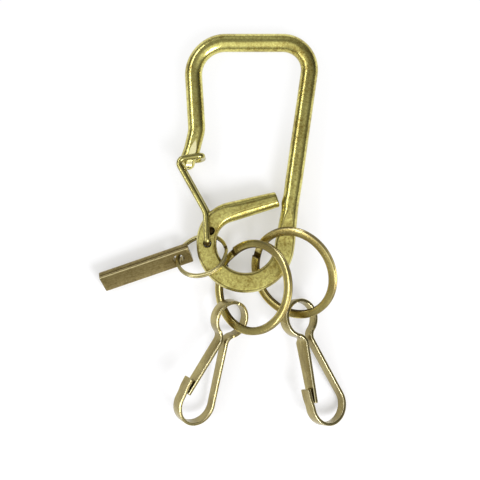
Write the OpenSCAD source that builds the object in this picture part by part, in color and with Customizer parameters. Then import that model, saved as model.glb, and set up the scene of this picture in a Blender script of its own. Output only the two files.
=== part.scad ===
// Belt key clip: one bent brass rod with a sprung wire gate, two split key rings with a
// spring hook on each, and a bar tag on a small split ring, lying flat as if put down.
// Z is up from the surface, Y runs from the rings to the belt bar, X is to the right.
// The origin is the middle of the belt bar, on its axis. All lengths are millimetres.

/* [Rod] */
// Diameter of the round rod
rod_d = 5.3; // [4.8:0.1:5.6]
// Straight length of the belt bar
bar_length = 18.5; // [15:0.1:22]
// Bend radius between the belt bar and the nose shank
left_corner_r = 10.3; // [8:0.1:12]
// Bend radius between the belt bar and the long rod
right_corner_r = 8.6; // [7:0.1:10]
// Straight length of the nose shank
shank_length = 16; // [13:0.1:18]
// Bend radius between the shank and the nose
nose_bend_r = 9.8; // [8:0.1:12]
// Straight length of the nose
nose_length = 8.8; // [8:0.1:10]
// Width of the pressed nose
nose_w = 5.7; // [5.4:0.1:6]
// Thickness of the pressed nose at its tip
nose_t = 4.2; // [3.6:0.1:5]
// Length of the long rod that stays round
long_rod_length = 44; // [41:0.1:48]
// Length over which the long rod is pressed from round to flat
press_length = 11; // [8:0.1:13]

/* [Curl] */
// Width of the flattened rod in the curl
curl_w = 6.4; // [6:0.1:6.6]
// Thickness of the flattened rod in the curl
curl_t = 4; // [3.4:0.1:4.4]
// Flat straight length before the curl turns
curl_lead_length = 2.5; // [1:0.1:4]
// Radius of the big bend of the curl, to the middle of the rod
curl_r = 12.4; // [12:0.1:12.8]
// Straight length of the left side of the curl
curl_side_length = 0.7; // [0.2:0.1:2]
// Radius of the small bend of the curl, to the middle of the rod
curl_top_r = 9.7; // [9:0.1:10.2]
// Length of the straight end that closes the curl
tongue_length = 16; // [15:0.1:17]
// Width of the rod at the end of the curl
tongue_w = 5.1; // [5:0.1:6]
// Thickness of the rod at the end of the curl
tongue_t = 4.9; // [4.2:0.1:5.2]

/* [Gate] */
// Diameter of the gate wire
wire_d = 1.9; // [1.6:0.1:2]
// Gap between the gate wire and the walls of its holes
gate_hole_gap = 0.25; // [0.1:0.05:0.4]
// Gap between the gate legs and the faces of the rod
gate_side_gap = 0.15; // [0.1:0.05:0.4]
// Radius of the bends where the wire turns into its holes and across the nose
gate_elbow_r = 1.4; // [1.1:0.1:1.6]
// Straight length of the front leg next to its hole
gate_foot_length = 8.3; // [7:0.1:10]
// Bend radius in the middle of each leg
gate_knee_r = 6; // [4:0.1:8]
// Straight length of the front leg beside the nose
gate_leg_length = 15.4; // [14:0.1:16.5]
// Radius of the bend that turns the wire across the nose
gate_top_r = 1.7; // [1.3:0.1:2.2]
// Gap between the gate wire and the inner side of the nose
gate_nose_gap = 0.3; // [0.1:0.05:0.8]
// Distance between the two gate holes along the rod
gate_hole_pitch = 4; // [3.6:0.1:4.4]
// Distance of the back leg's hole inwards of the front leg's hole
gate_hole_offset = 1.1; // [0.6:0.1:1.3]
// Distance of the front leg's hole inwards of the middle of the curl's side
gate_hole_in = 0.3; // [0.1:0.1:0.5]
// Distance of the back leg inwards of the front leg at the nose
gate_back_inset = 0.6; // [0.1:0.1:0.8]

/* [Key rings] */
// Outer diameter of the key rings
key_ring_d = 30; // [28:0.5:32]
// Radial width of the key ring wire
key_ring_w = 2.5; // [2:0.1:3]
// Thickness of the key ring across both coils
key_ring_t = 1.8; // [1.4:0.1:2.2]
// Outer diameter of the tag ring
tag_ring_d = 17.2; // [16.8:0.1:17.6]
// Radial width of the tag ring wire
tag_ring_w = 1.1; // [1:0.05:1.3]
// Thickness of the tag ring across both coils
tag_ring_t = 1.4; // [1.2:0.1:1.5]

/* [Tag] */
// Length of the bar tag
tag_length = 30; // [24:0.1:36]
// Width of the bar tag
tag_w = 6.3; // [5.8:0.1:7]
// Thickness of the bar tag
tag_t = 2.9; // [2:0.1:3]
// Diameter of the hole in the bar tag
tag_hole_d = 3.4; // [3.3:0.1:3.8]
// Distance from the middle of the hole to the end of the tag
tag_hole_edge = 4.1; // [3.2:0.1:4.6]
// Width of the chamfer along the tag's edges
tag_chamfer = 0.3; // [0.1:0.05:0.5]

/* [Snap hooks] */
// Width of the strip on the tongue side
strip_w = 4.1; // [3.6:0.1:4.6]
// Width of the strip on the outer leg's side
strip_leg_w = 3.2; // [2.8:0.1:4]
// Thickness of the strip
strip_t = 1.1; // [0.9:0.05:1.2]
// Radius of the eye, to the middle of the strip
eye_r = 5.6; // [5.3:0.1:6]
// Radius of the two bends at the waist
waist_r = 2.9; // [2.4:0.1:3.4]
// Straight length of the outer leg
outer_leg_length = 20.4; // [18:0.1:22]
// Radius of the bottom of the hook, to the middle of the strip
bottom_r = 6.2; // [5.8:0.1:6.6]
// Length of the end that the tongue closes against
keeper_length = 6.7; // [5:0.1:7]
// Length of the springing tongue
spring_length = 19.1; // [17:0.1:20]

/* [Lying pose] */
// Height of the curl's axis above the surface
curl_height = 7.2; // [6.8:0.1:8.4]
// Gap under each piece that lies on the surface
rest_gap = 0.1; // [0:0.05:0.3]

/* [Hidden] */
$fn = 72;
brass = [0.66, 0.62, 0.36];
dark_brass = [0.50, 0.45, 0.25];
pale_brass = [0.74, 0.70, 0.45];

// Angles of the bends, in degrees
right_corner_turn = 98.3;
left_corner_turn = 93.6;
nose_turn = 17;
curl_top_turn = 74.9;
curl_turn = 270 - right_corner_turn;
tongue_cut = 3;
gate_foot_lean = 2.6;
gate_knee_turn = 26.5;
gate_top_heading = 8.4;
gate_back_lean = 5;
eye_turn = 150.3;
outer_leg_lean = 11.3;
keeper_lean = 7.2;
spring_lean = 12;

// Small gaps and overruns
cut_over = 1;
join_lap = 0.05;
bend_swell = 0.01;
press_start_share = 1.02;
wire_split_gap = 0.1;
strip_split_gap = 0.15;
coil_edge_share = 0.22;
coil_break = 24;
coil_lap = 0.03;
strip_steps = 24;

rod_r = rod_d / 2;
wire_r = wire_d / 2;
curl_drop = (right_corner_r + long_rod_length + press_length + curl_lead_length)
    * sin(right_corner_turn);
lean = asin((curl_height - rod_r) / curl_drop);
surface_z = -rod_r;

// A bent line is a list of [straight length, bend radius, turn in degrees], with turns to
// the left positive. A stance is [x, y, heading].
function after_straight(s, length) = [s.x + length * cos(s.z), s.y + length * sin(s.z), s.z];
function side(turn) = turn < 0 ? -1 : 1;
function bend_centre(s, r, turn) = [s.x - side(turn) * r * sin(s.z), s.y + side(turn) * r * cos(s.z)];
function after_bend(s, r, turn) = let (c = bend_centre(s, r, turn), h = s.z + turn)
    [c.x + side(turn) * r * sin(h), c.y - side(turn) * r * cos(h), h];
function after(s, leg) = after_bend(after_straight(s, leg[0]), leg[1], leg[2]);
function stance(start, legs, i) = i == 0 ? start : after(stance(start, legs, i - 1), legs[i - 1]);

// Cross section of the pressed rod: a circle with two flats, above and below
module flat_section(swell = 0) {
    intersection() {
        circle(d = curl_w + 2 * swell);
        square([curl_w + 2 * swell, curl_t + 2 * swell], center = true);
    }
}

// Moves its children to a stance, to the end of a straight, or to the end of a bend
module stand(s) {
    translate([s.x, s.y, 0]) rotate([0, 0, s.z]) children();
}

module past(length) {
    translate([length, 0, 0]) children();
}

module past_bend(r, turn) {
    translate([0, side(turn) * r, 0]) rotate([0, 0, turn]) translate([0, -side(turn) * r, 0])
        children();
}

// Sweeps the section given as child round a bend, from where the children stand
module bend(r, turn) {
    translate([0, side(turn) * r, 0]) rotate([0, 0, turn < 0 ? turn + 90 : -90])
        rotate_extrude(angle = abs(turn)) translate([r, 0]) children();
}

// Straights run a short way into the bends at their ends, which are a hair thicker
module round_run(length, r) {
    translate([-join_lap, 0, 0]) rotate([0, 90, 0]) cylinder(h = length + 2 * join_lap, r = r);
}

module flat_run(length) {
    translate([-join_lap, 0, 0]) rotate([90, 0, 90])
        linear_extrude(height = length + 2 * join_lap) flat_section();
}

// A straight that changes from one width and thickness to another over its length
module pressed_run(length, w1, t1, w2, t2) {
    intersection() {
        rotate([0, 90, 0]) cylinder(h = length, d1 = w1, d2 = w2);
        rotate([90, 0, 0]) linear_extrude(height = 2 * max(w1, w2), center = true)
            polygon([[0, -t1 / 2], [length, -t2 / 2], [length, t2 / 2], [0, t1 / 2]]);
    }
}

// The frame's two arms, each from the middle of the belt bar
bar_right = [0, 0, 0];
bar_left = [0, 0, 180];
right_legs = [[bar_length / 2, right_corner_r, -right_corner_turn],
    [long_rod_length + press_length + curl_lead_length, curl_r, -curl_turn]];
left_legs = [[bar_length / 2, left_corner_r, left_corner_turn],
    [shank_length, nose_bend_r, -nose_turn]];
curl_start = after_straight(stance(bar_right, right_legs, 1), right_legs[1][0]);
side_start = stance(bar_right, right_legs, 2);
curl_centre = bend_centre(curl_start, curl_r, -1);
nose_start = stance(bar_left, left_legs, 2);

// The gate's holes, both in the left side of the curl
gate_hole_r = wire_r + gate_hole_gap;
front_hole = [side_start.x + gate_hole_in, side_start.y];
back_hole = [front_hole.x + gate_hole_offset, front_hole.y + gate_hole_pitch];

module gate_hole(place) {
    translate([place.x, place.y, -curl_t / 2 - cut_over])
        cylinder(h = curl_t + 2 * cut_over, r = gate_hole_r);
}

module nose() {
    tip_r = nose_w / 2;
    reach = nose_length + join_lap;
    start_t = rod_d * press_start_share;
    past(-join_lap) intersection() {
        rotate([0, 90, 0]) union() {
            cylinder(h = reach, r1 = rod_r, r2 = tip_r);
            translate([0, 0, reach]) rotate_extrude() intersection() {
                circle(r = tip_r);
                translate([0, -join_lap]) square([tip_r, tip_r + join_lap]);
            }
        }
        rotate([90, 0, 0]) linear_extrude(height = 2 * nose_w, center = true)
            polygon([[0, -start_t / 2], [reach, -nose_t / 2], [reach + nose_w, -nose_t / 2],
                [reach + nose_w, nose_t / 2], [reach, nose_t / 2], [0, start_t / 2]]);
    }
}

// The straight end of the curl, cut off a little aslant
module curl_tongue() {
    difference() {
        past(-join_lap)
            pressed_run(tongue_length + tongue_w, curl_w, curl_t, tongue_w, tongue_t);
        past(tongue_length) rotate([0, 0, tongue_cut]) translate([0, -2 * tongue_w, -tongue_w])
            cube([2 * tongue_w, 4 * tongue_w, 2 * tongue_w]);
    }
}

module rod_bend(r, turn) {
    bend(r, turn) circle(r = rod_r + bend_swell);
}

module left_arm() {
    rod_bend(left_corner_r, left_corner_turn);
    past_bend(left_corner_r, left_corner_turn) {
        round_run(shank_length, rod_r);
        past(shank_length) {
            rod_bend(nose_bend_r, -nose_turn);
            past_bend(nose_bend_r, -nose_turn) nose();
        }
    }
}

module right_arm() {
    rod_bend(right_corner_r, -right_corner_turn);
    past_bend(right_corner_r, -right_corner_turn) {
        round_run(long_rod_length, rod_r);
        past(long_rod_length) {
            pressed_run(press_length, rod_d + 2 * bend_swell, rod_d * press_start_share,
                curl_w + 2 * bend_swell, curl_t + 2 * bend_swell);
            past(press_length) curl();
        }
    }
}

module curl() {
    flat_run(curl_lead_length);
    past(curl_lead_length) {
        bend(curl_r, -curl_turn) flat_section(bend_swell);
        past_bend(curl_r, -curl_turn) {
            flat_run(curl_side_length);
            past(curl_side_length) {
                bend(curl_top_r, -curl_top_turn) flat_section(bend_swell);
                past_bend(curl_top_r, -curl_top_turn) curl_tongue();
            }
        }
    }
}

module frame_rod() {
    color(brass) rotate([-lean, 0, 0]) difference() {
        union() {
            past(-bar_length / 2) round_run(bar_length, rod_r);
            rotate([0, 0, 180]) past(bar_length / 2) left_arm();
            past(bar_length / 2) right_arm();
        }
        gate_hole(front_hole);
        gate_hole(back_hole);
    }
}

// Gate wire. Each leg stands off its face of the rod, turns into its own hole at the foot
// and crosses the nose at the top, where the two halves meet.
leg_stand = max(rod_r, tongue_t / 2) + gate_side_gap + wire_r;
front_foot_heading = 90 + gate_foot_lean;
front_foot = after_straight([front_hole.x, front_hole.y, front_foot_heading], gate_elbow_r);
front_knee = after_straight(front_foot, gate_foot_length - gate_elbow_r);
front_leg = after_bend(front_knee, gate_knee_r, gate_knee_turn);
front_top = after_straight(front_leg, gate_leg_length);
cross_start = after_bend(front_top, gate_top_r, gate_top_heading - front_top.z);
// Where the wire stands on the inner side of the nose
nose_edge_x = nose_start.x + (cross_start.y - nose_start.y) / tan(nose_start.z)
    + nose_w / 2 / sin(180 - nose_start.z + 180);
cross_length = (nose_edge_x + gate_nose_gap + wire_r - cross_start.x) / cos(gate_top_heading)
    - gate_elbow_r;
cross_end = after_straight(cross_start, cross_length);
// The back leg starts at its own hole and ends at its top bend, inwards of the front leg's
back_top = inset(front_top);
function inset(s) = [s.x + gate_back_inset * cos(gate_top_heading),
    s.y + gate_back_inset * sin(gate_top_heading), s.z];
back_turn = front_top.z - 90 - gate_back_lean;
back_foot = after_straight([back_hole.x, back_hole.y, 90 + gate_back_lean], gate_elbow_r);
back_span = after_bend(back_foot, gate_knee_r, back_turn);
back_dx = back_top.x - back_span.x;
back_dy = back_top.y - back_span.y;
back_foot_length = (back_dx * sin(front_top.z) - back_dy * cos(front_top.z))
    / sin(front_top.z - back_foot.z);
back_leg_length = (back_dy * cos(back_foot.z) - back_dx * sin(back_foot.z))
    / sin(front_top.z - back_foot.z);
back_knee = after_straight(back_foot, back_foot_length);
back_leg = after_bend(back_knee, gate_knee_r, back_turn);

module wire_bend(r, turn) {
    bend(r, turn) circle(r = wire_r + bend_swell);
}

// Turns the wire down towards the middle of the rod, and on to the depth under its leg
module wire_down(depth) {
    rotate([90, 0, 0]) wire_bend(gate_elbow_r, -90);
    translate([gate_elbow_r, 0, -depth])
        cylinder(h = depth - gate_elbow_r + join_lap, r = wire_r);
}

// Half of the gate, from the foot with its stub in the hole to the middle of the crossing
module half_gate(foot, foot_length, knee_turn, leg_length, top_turn, across_length) {
    translate([0, 0, leg_stand]) stand(foot) {
        rotate([0, 0, 180]) wire_down(leg_stand + curl_t / 4);
        round_run(foot_length, wire_r);
        past(foot_length) {
            wire_bend(gate_knee_r, knee_turn);
            past_bend(gate_knee_r, knee_turn) {
                round_run(leg_length, wire_r);
                past(leg_length) {
                    wire_bend(gate_top_r, top_turn);
                    past_bend(gate_top_r, top_turn) {
                        round_run(across_length, wire_r);
                        past(across_length) wire_down(leg_stand - wire_split_gap / 2);
                    }
                }
            }
        }
    }
}

module gate_wire_front() {
    color(pale_brass) rotate([-lean, 0, 0]) half_gate(front_foot,
        gate_foot_length - gate_elbow_r, gate_knee_turn, gate_leg_length,
        gate_top_heading - front_top.z, cross_length);
}

module gate_wire_back() {
    color(dark_brass) rotate([-lean, 0, 0]) mirror([0, 0, 1]) half_gate(back_foot,
        back_foot_length, back_turn, back_leg_length,
        gate_top_heading - front_top.z, cross_length - gate_back_inset);
}

// Split rings: two flat coils in one wire, with the crossing between them at the break
module coil_section(w, t) {
    e = coil_edge_share * t;
    polygon([[-w / 2 + e, -t / 2], [w / 2 - e, -t / 2], [w / 2, -t / 2 + e], [w / 2, t / 2 - e],
        [w / 2 - e, t / 2], [-w / 2 + e, t / 2], [-w / 2, t / 2 - e], [-w / 2, -t / 2 + e]]);
}

// Both coils end at the angle split, and the wire crosses between them in the break
module split_ring(d, w, t, split) {
    mean_r = (d - w) / 2;
    coil_t = t / 2 + coil_lap;
    for (level = [1, -1])
        rotate([0, 0, split + coil_break]) rotate_extrude(angle = 360 - coil_break)
            translate([mean_r, level * (t / 2 - coil_t / 2)]) coil_section(w, coil_t);
    rotate([0, 0, split - coil_break / 8]) rotate_extrude(angle = coil_break * 5 / 4)
        translate([mean_r, 0]) coil_section(w - 2 * coil_lap, coil_t);
}

// Puts a ring that lies tilted, its high side towards the heading
module tilted(place, tilt, heading) {
    translate(place) rotate([0, 0, heading]) rotate([0, -tilt, 0]) children();
}

function ring_height(d, t, tilt) = surface_z + rest_gap + d / 2 * sin(tilt) + t / 2 * cos(tilt);

ring_1_offset = [2.21, -13.67];
ring_1_tilt = 38.9;
ring_1_heading = -6.3;
ring_1_split = 129;
ring_2_offset = [15.02, -9.23];
ring_2_tilt = 35.7;
ring_2_heading = 27.9;
ring_2_split = 109;
tag_ring_offset = [-13.97, -3.73];
tag_ring_tilt = 42.2;
tag_ring_heading = -68;
tag_ring_split = 60;
tag_lift = 0.2;
curl_spot = [curl_centre.x, curl_centre.y * cos(lean), 0];
ring_1_place = [curl_spot.x + ring_1_offset.x, curl_spot.y + ring_1_offset.y,
    ring_height(key_ring_d, key_ring_t, ring_1_tilt)];
ring_2_place = [curl_spot.x + ring_2_offset.x, curl_spot.y + ring_2_offset.y,
    ring_height(key_ring_d, key_ring_t, ring_2_tilt)];
tag_ring_place = [curl_spot.x + tag_ring_offset.x, curl_spot.y + tag_ring_offset.y,
    ring_height(tag_ring_d, tag_ring_t, tag_ring_tilt)];

module key_ring_1() {
    color(brass) tilted(ring_1_place, ring_1_tilt, ring_1_heading)
        split_ring(key_ring_d, key_ring_w, key_ring_t, ring_1_split);
}

module key_ring_2() {
    color(dark_brass) tilted(ring_2_place, ring_2_tilt, ring_2_heading)
        split_ring(key_ring_d, key_ring_w, key_ring_t, ring_2_split);
}

module tag_ring() {
    color(pale_brass) tilted(tag_ring_place, tag_ring_tilt, tag_ring_heading)
        split_ring(tag_ring_d, tag_ring_w, tag_ring_t, tag_ring_split);
}

// The tag hangs on the left side of its ring and lies with its far end on the surface. The
// ring angle is counted round the ring from its high side.
tag_heading = 18.9;
tag_roll = 42;
tag_ring_angle = -116;
function on_ring(place, tilt, heading, r, angle) = let (u = r * cos(angle), v = r * sin(angle))
    [place.x + u * cos(tilt) * cos(heading) - v * sin(heading),
     place.y + u * cos(tilt) * sin(heading) + v * cos(heading), place.z + u * sin(tilt)];
tag_ring_mid_r = (tag_ring_d - tag_ring_w) / 2;
tag_ring_spot = on_ring(tag_ring_place, tag_ring_tilt, tag_ring_heading, tag_ring_mid_r,
    tag_ring_angle);
tag_hole_spot = [tag_ring_spot.x, tag_ring_spot.y, tag_ring_spot.z + tag_lift];
tag_far_drop = tag_hole_spot.z - surface_z - rest_gap - tag_w / 2 * sin(tag_roll)
    - tag_t / 2 * cos(tag_roll);
tag_pitch = asin(tag_far_drop / (tag_length - tag_hole_edge));

module bar_tag() {
    c = tag_chamfer;
    color(dark_brass) translate(tag_hole_spot) rotate([0, 0, tag_heading])
        rotate([0, -tag_pitch, 0]) rotate([tag_roll, 0, 0]) difference() {
            translate([-(tag_length - tag_hole_edge), 0, 0]) rotate([90, 0, 90])
                linear_extrude(height = tag_length)
                    polygon([[-tag_w / 2 + c, -tag_t / 2], [tag_w / 2 - c, -tag_t / 2],
                        [tag_w / 2, -tag_t / 2 + c], [tag_w / 2, tag_t / 2 - c],
                        [tag_w / 2 - c, tag_t / 2], [-tag_w / 2 + c, tag_t / 2],
                        [-tag_w / 2, tag_t / 2 - c], [-tag_w / 2, -tag_t / 2 + c]]);
            cylinder(h = 2 * tag_t, d = tag_hole_d, center = true);
        }
}

// Snap hooks: one strip from the keeper end round the bottom, up the outer leg and round
// the eye to the waist, and from there the springing tongue that closes the hook
eye_top_right = [0, eye_r, 0];
eye_top_left = [0, eye_r, 180];
waist_right_turn = eye_turn - 90 + outer_leg_lean;
waist_left_turn = eye_turn - 90 + spring_lean;
hook_right = [[0, eye_r, -eye_turn], [0, waist_r, waist_right_turn],
    [outer_leg_length, bottom_r, -(180 + outer_leg_lean + keeper_lean)], [keeper_length, 0, 0]];
hook_left = [[0, eye_r, eye_turn], [0, waist_r, -waist_left_turn]];
spring_start = stance(eye_top_left, hook_left, 2);

// Points along a bent line, and the outline of a strip of thickness t round it
function bend_stances(s, leg) = let (p = after_straight(s, leg[0]))
    leg[1] == 0 ? [p] : [for (i = [0:strip_steps]) after_bend(p, leg[1], leg[2] * i / strip_steps)];
function line_stances(start, legs) =
    [for (i = [0:len(legs) - 1]) each bend_stances(stance(start, legs, i), legs[i])];
function beside(s, d) = [s.x - d * sin(s.z), s.y + d * cos(s.z)];
function reversed(list) = [for (i = [len(list) - 1:-1:0]) list[i]];
function no_repeats(list, gap) =
    [for (i = [0:len(list) - 1]) if (i == 0 || norm(list[i] - list[i - 1]) > gap) list[i]];

module strip(start, legs, from) {
    line = no_repeats(concat([from], line_stances(start, legs)), strip_t / 100);
    linear_extrude(height = strip_w, center = true)
        polygon(concat([for (s = line) beside(s, strip_t / 2)],
            reversed([for (s = line) beside(s, -strip_t / 2)])));
}

// The strip tapers in width from the tongue's side to the outer leg's side
taper_x = eye_r + strip_t / 2;
taper_step = (strip_w - strip_leg_w) / 2;
module strip_taper() {
    rotate([90, 0, 0]) linear_extrude(height = 2 * hook_reach, center = true)
        polygon([[-2 * taper_x, -strip_w / 2], [-taper_x, -strip_w / 2],
            [taper_x, -strip_w / 2 + taper_step], [2 * taper_x, -strip_w / 2 + taper_step],
            [2 * taper_x, strip_w / 2 - taper_step], [taper_x, strip_w / 2 - taper_step],
            [-taper_x, strip_w / 2], [-2 * taper_x, strip_w / 2]]);
}

hook_line = line_stances(eye_top_right, hook_right);
hook_reach = max([for (s = hook_line) norm([s.x, s.y])]) + strip_w;
hook_1_offset = [-5.01, -24.01];
hook_1_heading = -17.5;
hook_1_roll = 34.2;
hook_1_swivel = -4.6;
hook_2_offset = [17.1, -23.61];
hook_2_heading = 12.5;
hook_2_roll = 31.3;
hook_2_swivel = 7.4;
// Depth of the hook's lowest point under the middle of its eye
function hook_depth(roll, swivel) = strip_w / 2 * cos(roll) + max([for (s = hook_line)
    let (p = beside(s, strip_t / 2)) sin(roll) * (p.x * cos(swivel) - p.y * sin(swivel))]);

module lay_hook(offset, heading, roll, swivel) {
    translate([curl_spot.x + offset.x, curl_spot.y + offset.y,
        surface_z + rest_gap + hook_depth(roll, swivel)])
        rotate([0, 0, heading]) rotate([0, roll, 0]) rotate([0, 0, swivel]) children();
}

module snap_hook() {
    intersection() {
        union() {
            strip(eye_top_right, hook_right, eye_top_right);
            strip(eye_top_left, hook_left, eye_top_left);
        }
        strip_taper();
    }
}

module snap_tongue() {
    intersection() {
        stand(after_straight(spring_start, strip_split_gap))
            translate([0, -strip_t / 2, -strip_w / 2])
                cube([spring_length - strip_split_gap, strip_t, strip_w]);
        strip_taper();
    }
}

module snap_hook_1() {
    color(brass) lay_hook(hook_1_offset, hook_1_heading, hook_1_roll, hook_1_swivel) snap_hook();
}

module snap_tongue_1() {
    color(pale_brass) lay_hook(hook_1_offset, hook_1_heading, hook_1_roll, hook_1_swivel)
        snap_tongue();
}

module snap_hook_2() {
    color(brass) lay_hook(hook_2_offset, hook_2_heading, hook_2_roll, hook_2_swivel) snap_hook();
}

module snap_tongue_2() {
    color(pale_brass) lay_hook(hook_2_offset, hook_2_heading, hook_2_roll, hook_2_swivel)
        snap_tongue();
}

frame_rod();
gate_wire_front();
gate_wire_back();
tag_ring();
bar_tag();
key_ring_1();
key_ring_2();
snap_hook_1();
snap_tongue_1();
snap_hook_2();
snap_tongue_2();
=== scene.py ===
import math

import bmesh
import bpy
from mathutils import Matrix, Vector


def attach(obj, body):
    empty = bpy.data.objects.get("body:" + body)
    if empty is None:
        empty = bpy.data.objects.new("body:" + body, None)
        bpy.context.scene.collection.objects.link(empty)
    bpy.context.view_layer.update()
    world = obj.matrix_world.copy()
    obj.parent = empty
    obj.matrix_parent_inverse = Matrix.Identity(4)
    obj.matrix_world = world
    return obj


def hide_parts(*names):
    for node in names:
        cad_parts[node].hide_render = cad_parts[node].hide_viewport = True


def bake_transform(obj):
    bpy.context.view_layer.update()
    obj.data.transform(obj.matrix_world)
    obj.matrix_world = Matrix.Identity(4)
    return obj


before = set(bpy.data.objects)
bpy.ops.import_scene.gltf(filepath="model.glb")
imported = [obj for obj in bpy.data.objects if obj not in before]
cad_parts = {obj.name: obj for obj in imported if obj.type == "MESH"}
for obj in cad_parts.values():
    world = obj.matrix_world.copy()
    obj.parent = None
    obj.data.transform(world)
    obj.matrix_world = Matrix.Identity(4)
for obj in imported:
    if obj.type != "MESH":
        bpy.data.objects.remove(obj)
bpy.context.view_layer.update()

# Shapes are worked in millimetres, and become metres when a mesh is made.
MM = 0.001
# Height of the surface that the object lies on
SURFACE = -2.65

# ---- rod ----------------------------------------------------------------------------------
# A bent line is a list of (straight, bend radius, turn in degrees), left turns positive.

ROD_R = 2.65
BAR_HALF = 9.25
NOSE_LENGTH, NOSE_W, NOSE_T = 8.8, 5.7, 4.9
ROUND_LENGTH, PRESS_LENGTH, CURL_LEAD = 44.0, 11.0, 2.5
CURL_W, CURL_T = 6.4, 4.0
TONGUE_LENGTH, TONGUE_W = 16.0, 5.1
RIGHT_TURN = 98.3
LEFT_LEGS = [(BAR_HALF, 10.3, 93.6), (16.0, 9.8, -17.0), (NOSE_LENGTH, 0.0, 0.0)]
RIGHT_LEGS = [(BAR_HALF, 8.6, -RIGHT_TURN),
              (ROUND_LENGTH + PRESS_LENGTH + CURL_LEAD, 12.4, -(270 - RIGHT_TURN)),
              (0.7, 9.7, -74.9), (TONGUE_LENGTH, 0.0, 0.0)]
ROD_STEP = 0.5
# Edges that turn by more degrees than this are drawn sharp, on the tag too.
ROD_SHARP = 38
# Degrees by which the whole rod rises from the belt bar to its curl
LEAN = 3.98893

# How much fuller than the solid: each side of the round rod, and the belt bar's outer side,
# with the length beyond the bar over which that fades
ROD_SWELL, BAR_SWELL, BAR_FADE = 0.13, 0.3, 12.0
# The share of the nose's length before the nose, from which the swell fades over one length
NOSE_SWELL_LEAD = 0.5
# Where it starts, the press is open to this many rod diameters.
PRESS_OPEN = 1.03
# A bump on the inner side, just before the press starts
PRESS_BUMP, PRESS_BUMP_BEFORE, PRESS_BUMP_LENGTH = 0.3, 1.4, 1.6

# Seams along the edges of a pressed flat, shallow grooves with painted shade in them, which start
# where its half width is SEAM_FROM
SEAM_REACH, SEAM_DEPTH, SEAM_SHADE = 0.17, 0.05, 0.8
SEAM_FROM, SEAM_RISE = 0.25, 0.5

# The flat along the tongue: thickness, width as a share of the tongue's, and shift outwards
TONGUE_FLAT_T, TONGUE_FLAT_SHARE, TONGUE_FLAT_SHIFT = 4.6, 0.36, 0.15
# Length over which it takes over from the curl's flat, and the share of that before the tongue
TONGUE_FADE, TONGUE_FADE_LEAD = 18.0, 0.7
# The tongue's end is cut aslant by TONGUE_CUT degrees. Stations nearer to it than this share of
# its width make way, and its edge is rounded, as every end is, by pairs of (length back,
# pulled in).
TONGUE_CUT, TONGUE_CUT_SHARE = 3.0, 0.5
TONGUE_END = ((1.3, 0.0), (0.7, 0.0), (0.4, 0.05), (0.18, 0.18), (0.05, 0.4), (0.0, 0.7))

# The facet ground on the nose: slant in degrees, and depth at its start and near the tip
FACET_SLANT, FACET_START, FACET_DEPTH = 12.0, -0.1, 0.22
# How fast it deepens along the nose, and how far past the middle it reaches
FACET_RISE, FACET_EDGE = 1.2, 0.5
# The outer and the inner side of the nose: (half width near the tip, length before the tip
# where it begins to change to that, length over which it does)
NOSE_OUTER, NOSE_INNER = (3.0, 7.0, 4.0), (2.0, 6.4, 2.8)
# Lengths over which the outer side rounds off, and the inner side and the height do
NOSE_OUTER_ROUND, NOSE_TIP_ROUND, NOSE_TIP_POWER = 3.4, 2.0, 0.35
TIP_STEPS = 10

# ---- gate wire ----------------------------------------------------------------------------

WIRE_R = 0.95
HOLE_R, HOLE_RIM = 1.2, 0.12
# Waist of each hole: radius, half its height, and the slack for finding a hole's wall points
HOLE_WAIST_R, HOLE_WAIST_FROM, HOLE_NEAR = 1.0, 0.8, 0.02
FRONT_HOLE, BACK_HOLE = (-14.9107, -64.9492), (-13.8107, -60.9492)
# Height of the wire's legs above the middle of the rod
LEG_STAND = 3.75
ELBOW_R, KNEE_R, TOP_R = 1.4, 6.0, 1.7
ELBOW_STEPS = 8
TOP_HEADING = 8.4
# Heading of the foot, turn at the knee, how much shorter the crossing is
FRONT_BENDS = (92.6, 26.5, 0.0)
BACK_BENDS = (95.0, 24.1, 0.6)
# Straight lengths of each leg: foot, leg beside the nose, crossing
FRONT_SPAN = (6.9, 15.4, 4.39594)
BACK_SPAN = (2.18929, 16.6065, 4.39594)
# Each half of the wire stops this far short of the rod's middle plane.
WIRE_SPLIT = 0.03
WIRE_STEP = 0.35
# Edges that turn by more degrees than this are drawn sharp, on the rings too.
WIRE_SHARP = 50
WIRE_END = ((0.0, 0.25), (0.075, 0.075), (0.25, 0.0))
# Painted shade on the wire from its foot, down in its hole, to about this point of its line; it
# fades over two points.
FOOT_SHADE_TO, FOOT_FADE = 6.5, 2

# ---- rings --------------------------------------------------------------------------------
# Outer diameter, wire width, thickness of both coils, place, tilt and heading; then the angle
# of the upper free end, the way round that the wire runs from there, and how dark the painted
# shadow in its step is.

KEY_RING_1 = dict(d=30.0, w=2.5, t=1.8, place=(-0.60068, -78.4618, 7.56986), tilt=38.9,
                  heading=-6.3, free_end=129.0, side=-1, step_shadow=1.0)
KEY_RING_2 = dict(d=30.0, w=2.5, t=1.8, place=(12.2093, -74.0218, 6.93399), tilt=35.7,
                  heading=27.9, free_end=133.0, side=1, step_shadow=1.0)
TAG_RING = dict(d=17.2, w=1.1, t=1.4, place=(-16.7807, -68.5218, 3.74536), tilt=42.2,
                heading=-68.0, free_end=84.0, side=1, step_shadow=0.3)
# Degrees of the crossing, of the painted shadow in the step at its end, and of that shadow's fading
COIL_BREAK, STEP_SHADOW, STEP_FADE = 24.0, 6.0, 2.0
COIL_GAP = 0.012
# Degrees from one station to the next, away from the crossing and near it
COIL_STEP, CROSSING_STEP = 3.0, 1.0
COIL_END = ((0.0, 0.12), (0.05, 0.03), (0.14, 0.0))
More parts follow.
